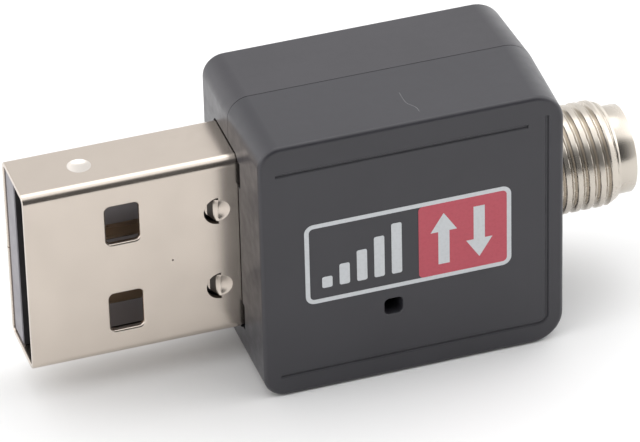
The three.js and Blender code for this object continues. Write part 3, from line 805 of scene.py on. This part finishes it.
def lance_tongue(side):
    """A half-round tongue of the sheet, curling inwards from its straight edge, with painted shade: a dark
    band over its bend.
    """
    slot = 0.15 * MM
    radius = LANCE_RADIUS - slot
    centre_z = AXIS_Z + side * LANCE_FROM_AXIS
    across_steps, along_steps = 16, 10
    root_overlap = 0.06 * MM
    depth_at_tip = 0.42 * MM
    blunt = 0.12  # half the tip's width, as a share of the radius
    bend_share = 0.75  # of the length
    # Painted shade: faces in this share of the length take the dark second material.
    painted_shade_band = (0.35, 0.78)  # of the length
    bm = bmesh.new()
    skins = []
    for skin in (0.0, SHEET - lance_depth(0) - 0.01 * MM):
        rows = []
        for i in range(along_steps + 1):
            t = i / along_steps
            row = []
            for j in range(across_steps + 1):
                z = (2 * j / across_steps - 1) * math.sqrt(max(1 - t * t, blunt * blunt)) * radius
                x = LANCE_HINGE_X + root_overlap - t * (radius + root_overlap)
                root = lance_depth(z) + 0.001 * MM
                sink = root + (depth_at_tip - root) * smooth(t / bend_share)
                row.append(bm.verts.new((x, PLUG_FACE_Y + sink + skin, centre_z + z)))
            rows.append(row)
        skins.append(rows)
    for rows in skins:
        for i, (lower, upper) in enumerate(zip(rows, rows[1:])):
            for j in range(across_steps):
                face = bm.faces.new((lower[j], lower[j + 1], upper[j + 1], upper[j]))
                face.material_index = 1 if painted_shade_band[0] < (i + 0.5) / along_steps < painted_shade_band[1] else 0
    top, bottom = [
        rows[0] + [row[-1] for row in rows[1:]] + rows[-1][-2::-1] + [row[0] for row in rows[-2:0:-1]]
        for rows in skins
    ]
    count = len(top)
    for index in range(count):
        beside = (index + 1) % count
        bm.faces.new((top[index], top[beside], bottom[beside], bottom[index]))
    return bm


def lance_dent(side):
    """The shallow hollow in the sheet where a lance starts to bend."""
    centre = (LANCE_HINGE_X, AXIS_Z + side * LANCE_FROM_AXIS)
    levels = in_face([(0.85, -0.02), (0.72, -0.002)], PLUG_FACE_Y)
    for radius in (0.64, 0.57, 0.5, 0.43, 0.35, 0.26, 0.17, 0.08):
        levels.append((radius * MM, PLUG_FACE_Y + lance_depth(radius * MM)))
    return flared(lambda radius: circle(radius, centre, 40), levels, along_y)


def dimple(side):
    """A shallow round dent in a narrow face of the plug, with a soft rim."""
    centre = (PLUG_LOW.x + 3.95 * MM, AXIS_Y)
    face = AXIS_Z + side * PLUG_WIDTH / 2
    profile = [(0.77, -0.03), (0.72, -0.004), (0.67, 0.004), (0.6, 0.02), (0.5, 0.05), (0.37, 0.08)]
    profile += [(0.2, 0.1), (0.06, 0.105)]
    return flared(lambda radius: circle(radius, centre, 40), in_face(profile, face, -side), along_z)


def seam():
    """The butt joint along the back of the folded sheet, locked by one dovetail."""
    half = 0.035 * MM
    line = [
        (PLUG_LOW.x - 1 * MM, AXIS_Z),
        (PLUG_LOW.x + 7.9 * MM, AXIS_Z),
        (PLUG_LOW.x + 7.5 * MM, AXIS_Z + 1.1 * MM),
        (PLUG_LOW.x + 9.9 * MM, AXIS_Z + 1.1 * MM),
        (PLUG_LOW.x + 9.5 * MM, AXIS_Z),
        (PLUG_REAR_X + 1 * MM, AXIS_Z),
    ]
    return straight(stroke(line, half), PLUG_HIGH.y - 0.6 * MM, PLUG_HIGH.y + 0.5 * MM, along_y)


def plug_tab(side):
    """The leg of the metal shell that is soldered into the board's edge."""
    face = AXIS_Z + side * PLUG_WIDTH / 2
    outline = rect_at(SHEET, 1.6 * MM, 0.05 * MM, (face - side * SHEET / 2, AXIS_Y + 0.5 * MM), 3)
    levels = [(0, PLUG_REAR_X - 0.5 * MM), (0, PLUG_HIGH.x - 0.1 * MM), (-0.05 * MM, PLUG_HIGH.x)]
    return flared(outline, levels, lambda u, v, depth: Vector((depth, v, u)))


def speck():
    """A tiny dark pit in the plug's front face."""
    x, z, radius, depth = -13.18 * MM, 8.1 * MM, 0.06 * MM, 0.02 * MM
    return post(x, z, radius, PLUG_FACE_Y - 0.2 * MM, PLUG_FACE_Y + depth, 0.01 * MM)


def plug_sleeve():
    """The plug's shell, folded from one strip of plated steel."""
    lip = 0.05 * MM
    levels = [
        (-SHEET, PLUG_REAR_X),
        (0.0, PLUG_REAR_X),
        (0.0, PLUG_LOW.x + 2 * lip),
        (-0.3 * lip, PLUG_LOW.x + 0.6 * lip),
        (-1.2 * lip, PLUG_LOW.x),
        (-SHEET + 1.2 * lip, PLUG_LOW.x),
        (-SHEET + 0.3 * lip, PLUG_LOW.x + 0.6 * lip),
        (-SHEET, PLUG_LOW.x + 2 * lip),
    ]
    outline_at = rect_at(PLUG_THICKNESS, PLUG_WIDTH, PLUG_CORNER, (AXIS_Y, AXIS_Z), 10)
    piece = build("plug_sleeve", flared(outline_at, levels, along_x, closed=True), PLUG_NICKEL)
    for side in (-1, 1):
        join(piece, plug_tab(side))
        cut(piece, plug_window(side, PLUG_LOW.y, -1))
        cut(piece, plug_window(side, PLUG_HIGH.y, 1))
        # Painted highlight: the dent's faces take the paler nickel.
        cut(piece, dimple(side), DIMPLE_HIGHLIGHT_NICKEL)
        cut(piece, lance_dent(side))
        # The slot's walls take the dark brown, painted shade.
        cut(piece, lance_slot(side), SHEARED_STEEL_AND_SHADE)
        join(piece, lance_tongue(side), PLUG_NICKEL, SHEARED_STEEL_AND_SHADE)
    cut(piece, speck(), SHEARED_STEEL_AND_SHADE)
    cut(piece, seam())
    finish_piece(piece, "plug_nickel", "usb_shell")


CONTACTS = ("vbus_contact", "data_minus_contact", "data_plus_contact", "ground_contact")


def contact_channel(low, high, end):
    """The channel that a contact runs in, from its own tip to the insulator's back."""
    gap = 0.02 * MM
    middle = ((low.y + high.y) / 2, (low.z + high.z) / 2)
    outline = rounded_rect(high.y - low.y + 2 * gap, high.z - low.z + 2 * gap, 0.02 * MM, middle, 2)
    return straight(outline, low.x - gap, end, along_x)


def insulator():
    """The black moulding: a tongue with a lead-in at the mouth, and a block with the contacts' channels."""
    low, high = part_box("usb_insulator")
    width = high.z - low.z
    section = rect_at(high.y - low.y, width, 0.3 * MM, (AXIS_Y, AXIS_Z))
    ease = 0.12 * MM
    levels = [(-ease, low.x), (0, low.x + ease), (0, high.x - ease), (-ease, high.x)]
    piece = build("plug_insulator", flared(section, levels, along_x), INSULATOR_BLACK)
    cavity_floor = CONTACT_LOW.y
    cavity_x = PLUG_LOW.x + 9.2 * MM
    clear = 1 * MM
    lead_in = 0.06 * MM
    profile = [
        (low.x - clear, cavity_floor + lead_in),
        (low.x, cavity_floor + lead_in),
        (low.x + lead_in, cavity_floor),
        (cavity_x, cavity_floor),
        (cavity_x, low.y - clear),
        (low.x - clear, low.y - clear),
    ]
    cut(piece, straight(profile, AXIS_Z - width, AXIS_Z + width, along_z))
    for node in CONTACTS:
        cut(piece, contact_channel(*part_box(node), high.x + clear))
    reach = LANCE_RADIUS + 0.1 * MM
    recess_x, recess_y = LANCE_HINGE_X - reach + 0.3 * MM, -1.2 * MM
    for side in (-1, 1):
        middle = (recess_x, AXIS_Z + side * LANCE_FROM_AXIS)
        outline = rounded_rect(2 * reach, 2 * reach, 0.1 * MM, middle, 3)
        cut(piece, straight(outline, low.y - clear, recess_y, along_y))
    finish_piece(piece, "insulator_plastic", "usb_insulator")


# -------- antenna jack
def thread_radius(x, turn, start, end):
    """The radius of a rounded thread with run-outs, at x along the axis and a share of a turn around it."""
    phase = (x - start) / THREAD_PITCH - turn + THREAD_PHASE
    wave = abs(2 * (phase - math.floor(phase)) - 1)
    flank = smooth((wave - THREAD_VALLEY) / THREAD_FLANK)
    run_in = min(max((x - start) / THREAD_PITCH, 0.0), 1.0)
    run_out = min(max((end - x) / (0.75 * THREAD_PITCH), 0.0), 1.0)
    return THREAD_ROOT + THREAD_DEPTH * min(flank, run_in, run_out)


def jack_point(radius, angle, x):
    return along_x(JACK_AXIS[0] + radius * math.cos(angle), JACK_AXIS[1] + radius * math.sin(angle), x)


def jack_barrel():
    """The threaded barrel with its plain nose, open bore, square flange and four board legs."""
    around = 112
    start = JACK_SIDE_X + 0.05 * MM
    end = JACK_HIGH.x - NOSE_LENGTH - 0.12 * MM
    rows_per_pitch = 22
    rows = round((end - start) / THREAD_PITCH * rows_per_pitch)
    flange_x = JACK_LOW.x + 3.9 * MM
    flange_thickness = 1.45 * MM
    base_x = flange_x + flange_thickness - 0.5 * MM
    passage = (DIELECTRIC_HIGH.z - DIELECTRIC_LOW.z) / 2 + 0.02 * MM
    bore = 2.3 * MM
    shank = THREAD_RADIUS - 0.1 * MM
    nose_x = JACK_HIGH.x - NOSE_LENGTH
    ease = 0.1 * MM

    def ring(x, radius_at):
        turns = [step / around for step in range(around)]
        return [jack_point(radius_at(turn), 2 * math.pi * turn, x) for turn in turns]

    def plain(levels):
        return [ring(x, lambda turn, radius=radius: radius) for x, radius in levels]

    foot = [(base_x, passage), (base_x, shank), (start - 0.2 * MM, shank), (start - 0.05 * MM, THREAD_ROOT)]
    rings = plain(foot)
    for row in range(rows + 1):
        x = start + (end - start) * row / rows
        rings.append(ring(x, lambda turn, x=x: thread_radius(x, turn, start, end)))
    rings += plain([
        (nose_x - 0.03 * MM, THREAD_ROOT - 0.06 * MM),
        (nose_x, NOSE_RADIUS - 0.02 * MM),
        (nose_x + 0.08 * MM, NOSE_RADIUS),
        (JACK_HIGH.x - ease, NOSE_RADIUS),
        (JACK_HIGH.x - 0.3 * ease, NOSE_RADIUS - 0.4 * ease),
        (JACK_HIGH.x, NOSE_RADIUS - 1.1 * ease),
        (JACK_HIGH.x, bore + 0.5 * ease),
        (JACK_HIGH.x - 0.5 * ease, bore),
        (DIELECTRIC_HIGH.x, bore),
        (DIELECTRIC_HIGH.x, passage),
    ])
    piece = build("jack_barrel", loft(rings, closed=True), JACK_NICKEL)
    join(piece, jack_flange(flange_x, flange_thickness, passage))
    for tool in jack_legs(flange_x):
        join(piece, tool)
    finish_piece(piece, "jack_nickel", "jack_body")


def jack_flange(x0, thickness, passage):
    """A square plate around the barrel's foot, with a round hole for the dielectric."""
    ease = 0.1 * MM
    width = 5.8 * MM
    height = JACK_HIGH.z - JACK_LOW.z
    steps = 16
    outer = rect_at(width, height, 0.3 * MM, JACK_AXIS, steps - 1)
    angles = [(step + 0.5) / steps * math.pi / 2 for step in range(4 * steps)]
    levels = [(-ease, x0), (0, x0 + ease), (0, x0 + thickness - ease), (-ease, x0 + thickness)]
    rings = [[along_x(u, v, x) for u, v in outer(growth)] for growth, x in levels]
    rings += [[jack_point(passage, angle, x) for angle in angles] for x in (x0 + thickness, x0)]
    return loft(rings, closed=True)


def jack_legs(flange_x):
    """Four square legs that straddle the board."""
    size, from_axis, ease = 1.0 * MM, 2.6 * MM, 0.1 * MM
    tools = []
    for side in (-1, 1):
        for y0 in (BOARD_LOW.y - FIT_GAP - size, BOARD_HIGH.y + FIT_GAP):
            outline = rect_at(size, size, ease, (y0 + size / 2, JACK_AXIS[1] + side * from_axis), 3)
            levels = [(-ease, JACK_LOW.x), (0, JACK_LOW.x + ease), (0, flange_x + 0.3 * MM)]
            tools.append(flared(outline, levels, along_x))
    return tools


# -------- parts on the board
def block(low, high, ease):
    """A box with eased edges, flat against the board at its high y side."""
    size = high - low
    outline = rect_at(size.x, size.z, ease, ((low.x + high.x) / 2, (low.z + high.z) / 2), 3)
    levels = [(-ease, low.y), (-0.3 * ease, low.y + 0.3 * ease), (0, low.y + ease), (0, high.y)]
    return flared(outline, levels, along_y)


def chip_component(node, slot, middle_material):
    """A small ceramic block with rounded, tinned end caps."""
    low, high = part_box(node)
    size = high - low
    axis = 0 if size.x > size.z else 2
    cap = 0.22 * size[axis]
    proud = 0.03 * MM
    middle_low, middle_high = low.copy(), high.copy()
    middle_low[2 - axis] += proud
    middle_high[2 - axis] -= proud
    middle_low.y += proud
    middle_low[axis] += 0.05 * MM
    middle_high[axis] -= 0.05 * MM
    piece = build(f"{node}_body", block(middle_low, middle_high, 0.02 * MM), middle_material)
    for at_low in (True, False):
        cap_low, cap_high = low.copy(), high.copy()
        if at_low:
            cap_high[axis] = low[axis] + cap
        else:
            cap_low[axis] = high[axis] - cap
        join(piece, block(cap_low, cap_high, 0.05 * MM), TINNED)
    finish_piece(piece, slot, node)


def radio_chip():
    """A flat no-lead package with a pin-one dot and a row of pads along each side."""
    low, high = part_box("wifi_chip")
    edge = 0.05 * MM
    body_low = Vector((low.x + edge, low.y, low.z + edge))
    body_high = Vector((high.x - edge, high.y, high.z - edge))
    piece = build("radio_chip_body", block(body_low, body_high, 0.05 * MM), CHIP_EPOXY)
    dot = (body_low.x + 0.6 * MM, body_high.z - 0.6 * MM)
    cut(piece, post(*dot, 0.25 * MM, low.y - 0.2 * MM, low.y + 0.03 * MM, 0.01 * MM), CERAMIC_WHITE)
    pad_pitch = 0.4 * MM
    pads_per_side = 10
    middle = (low + high) / 2
    half = 0.1 * MM
    reach = 0.35 * MM
    pads = []
    for pad in range(pads_per_side):
        along = (pad - (pads_per_side - 1) / 2) * pad_pitch
        left, right = middle.x + along - half, middle.x + along + half
        lower, upper = middle.z + along - half, middle.z + along + half
        for x0, x1, z0, z1 in (
            (left, right, low.z, low.z + reach),
            (left, right, high.z - reach, high.z),
            (low.x, low.x + reach, lower, upper),
            (high.x - reach, high.x, lower, upper),
        ):
            pads.append(block(Vector((x0, high.y - 0.2 * MM, z0)), Vector((x1, high.y, z1)), 0.01 * MM))
    join(piece, gather(*pads), TINNED)
    finish_piece(piece, "chip_epoxy", "wifi_chip")


def crystal_can():
    """A metal lid on a white ceramic base."""
    low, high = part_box("crystal")
    base_low = Vector((low.x, high.y - 0.45 * MM, low.z))
    piece = build("crystal_base", block(base_low, high, 0.06 * MM), CERAMIC_WHITE)
    inset = 0.15 * MM
    lid_low = Vector((low.x + inset, low.y, low.z + inset))
    lid_high = Vector((high.x - inset, high.y - 0.3 * MM, high.z - inset))
    join(piece, block(lid_low, lid_high, 0.12 * MM), CAN_METAL)
    finish_piece(piece, "crystal_can", "crystal")


def inductor():
    """A ferrite block over two tinned terminals."""
    low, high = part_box("power_inductor")
    inset = 0.05 * MM
    body_low = Vector((low.x + inset, low.y, low.z + 0.03 * MM))
    body_high = Vector((high.x - inset, high.y, high.z - 0.03 * MM))
    piece = build("inductor_body", block(body_low, body_high, 0.12 * MM), FERRITE)
    for x0, x1 in ((low.x, low.x + 0.5 * MM), (high.x - 0.5 * MM, high.x)):
        terminal_low, terminal_high = Vector((x0, high.y - 0.3 * MM, low.z)), Vector((x1, high.y, high.z))
        join(piece, block(terminal_low, terminal_high, 0.04 * MM), TINNED)
    finish_piece(piece, "ferrite", "power_inductor")


def status_led():
    """A clear lens on a white base."""
    low, high = LED_LOW, LED_HIGH
    base_low = Vector((low.x, high.y - 0.3 * MM, low.z))
    piece = build("led_base", block(base_low, high, 0.03 * MM), CERAMIC_WHITE)
    lens_low = Vector((low.x + 0.3 * MM, low.y, low.z + 0.03 * MM))
    lens_high = Vector((high.x - 0.3 * MM, high.y - 0.2 * MM, high.z - 0.03 * MM))
    join(piece, block(lens_low, lens_high, 0.1 * MM), LED_LENS)
    finish_piece(piece, "led_lens", "status_led")


def kept_nodes():
    """CAD nodes whose shape is already right: they only get their materials."""
    finishes = {node: GOLD_FLASH for node in (*CONTACTS, "jack_centre_pin")}
    finishes |= {"jack_dielectric": JACK_PTFE, "circuit_board": BOARD}
    for node, material in finishes.items():
        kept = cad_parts[node]
        kept.data.materials.clear()
        kept.data.materials.append(material)


front_case()
rear_case()
badge()
badge_arrows()
plug_sleeve()
insulator()
jack_barrel()
radio_chip()
crystal_can()
inductor()
status_led()
chip_component("rf_filter", "ceramic_white", CERAMIC_WHITE)
for number in range(1, 9):
    chip_component(f"capacitor_{number}", "ceramic_tan", CERAMIC_TAN)
for number in range(1, 4):
    chip_component(f"resistor_{number}", "resistor_black", RESISTOR_GLAZE)
kept_nodes()


# -------- table, light and camera
def table():
    """A white table top, a hair under the adapter so that their faces never share a plane."""
    shader = Shader("table_white")
    shader.set(
        Base_Color=shader.blotches(9, rgb(0.86, 0.86, 0.86), rgb(0.84, 0.84, 0.84)),
        Roughness=shader.vary(shader.noise(60), 0.5, 0.6),
        Specular_IOR_Level=0.3,
        Normal=shader.bump(shader.noise(900), 0.01 * MM, 0.1),
    )
    bm = bmesh.new()
    just_below = Matrix.Translation((0, 0, -0.01 * MM))
    bmesh.ops.create_grid(bm, x_segments=2, y_segments=2, size=3, matrix=just_below)
    build("table_top", bm, shader.material)


def sky():
    """A soft room: dark behind the camera, with bright side walls, a bright ceiling and a pale far wall."""
    # Levels over the room, from the horizon behind the camera, at 0, to the far one, at 1.
    levels = [(0.0, 0.02), (0.25, 0.035), (0.3, 0.22), (0.36, 1.1), (0.63, 1.1), (0.69, 0.72), (1.0, 0.7)]
    side_level = 1.08
    strength = 1.34
    world = bpy.data.worlds.new("room")
    bpy.context.scene.world = world
    world.use_nodes = True
    graph = Graph(world.node_tree)
    ray = graph.parts(graph.node("ShaderNodeTexCoord").outputs["Generated"])
    over = graph.math("ARCTAN2", ray["Z"], graph.math("MULTIPLY", ray["Y"], -1.0))
    ramp = graph.node("ShaderNodeValToRGB", {"Fac": graph.math("DIVIDE", over, math.pi)})
    stops = ramp.color_ramp.elements
    stops.remove(stops[1])
    for index, (position, level) in enumerate(levels):
        stop = stops[0] if index == 0 else stops.new(position)
        stop.position = position
        stop.color = rgb(level, level, level)
    sides = graph.math("MULTIPLY", graph.math("MULTIPLY", ray["X"], ray["X"]), side_level)
    background = world.node_tree.nodes["Background"]
    graph.feed(background.inputs["Color"], graph.math("ADD", sides, ramp.outputs["Color"]))
    graph.feed(background.inputs["Strength"], strength)


def softbox(name, position, aim, size, power):
    light = bpy.data.lights.new(name, "AREA")
    light.shape = "SQUARE"
    light.size = size
    light.energy = power
    lamp = bpy.data.objects.new(name, light)
    lamp.location = position
    lamp.rotation_euler = (Vector(aim) - Vector(position)).to_track_quat("-Z", "Y").to_euler()
    bpy.context.scene.collection.objects.link(lamp)


CAMERA_AZIMUTH = math.radians(-17.3)
CAMERA_ELEVATION = math.radians(34.39)
CAMERA_ROLL = math.radians(-1.52)
CAMERA_DISTANCE = 312 * MM
CAMERA_AIM = Vector((-4.09 * MM, -1.6 * MM, AXIS_Z))
SENSOR_WIDTH = 36  # this and the lens in millimetres, as Blender has them
FOCAL_LENGTH = 303.9


def camera():
    """A long lens, from above the plug's end, turned slightly about its own axis."""
    back = Vector((
        math.sin(CAMERA_AZIMUTH) * math.cos(CAMERA_ELEVATION),
        -math.cos(CAMERA_AZIMUTH) * math.cos(CAMERA_ELEVATION),
        math.sin(CAMERA_ELEVATION),
    ))
    level_right = Vector((math.cos(CAMERA_AZIMUTH), math.sin(CAMERA_AZIMUTH), 0))
    level_up = back.cross(level_right)
    right = math.cos(CAMERA_ROLL) * level_right + math.sin(CAMERA_ROLL) * level_up
    up = math.cos(CAMERA_ROLL) * level_up - math.sin(CAMERA_ROLL) * level_right
    lens = bpy.data.cameras.new("camera")
    lens.sensor_width = SENSOR_WIDTH
    lens.lens = FOCAL_LENGTH
    lens.clip_start = 0.01
    eye = bpy.data.objects.new("camera", lens)
    turned = Matrix((right, up, back)).transposed().to_4x4()
    eye.matrix_world = Matrix.Translation(CAMERA_AIM + CAMERA_DISTANCE * back) @ turned
    bpy.context.scene.collection.objects.link(eye)
    bpy.context.scene.camera = eye


table()
sky()
softbox("ceiling_softbox", position=(0.06, 0.2, 0.62), aim=(0, 0, 0), size=0.4, power=0.55)
camera()
bpy.context.scene.view_settings.view_transform = "Standard"
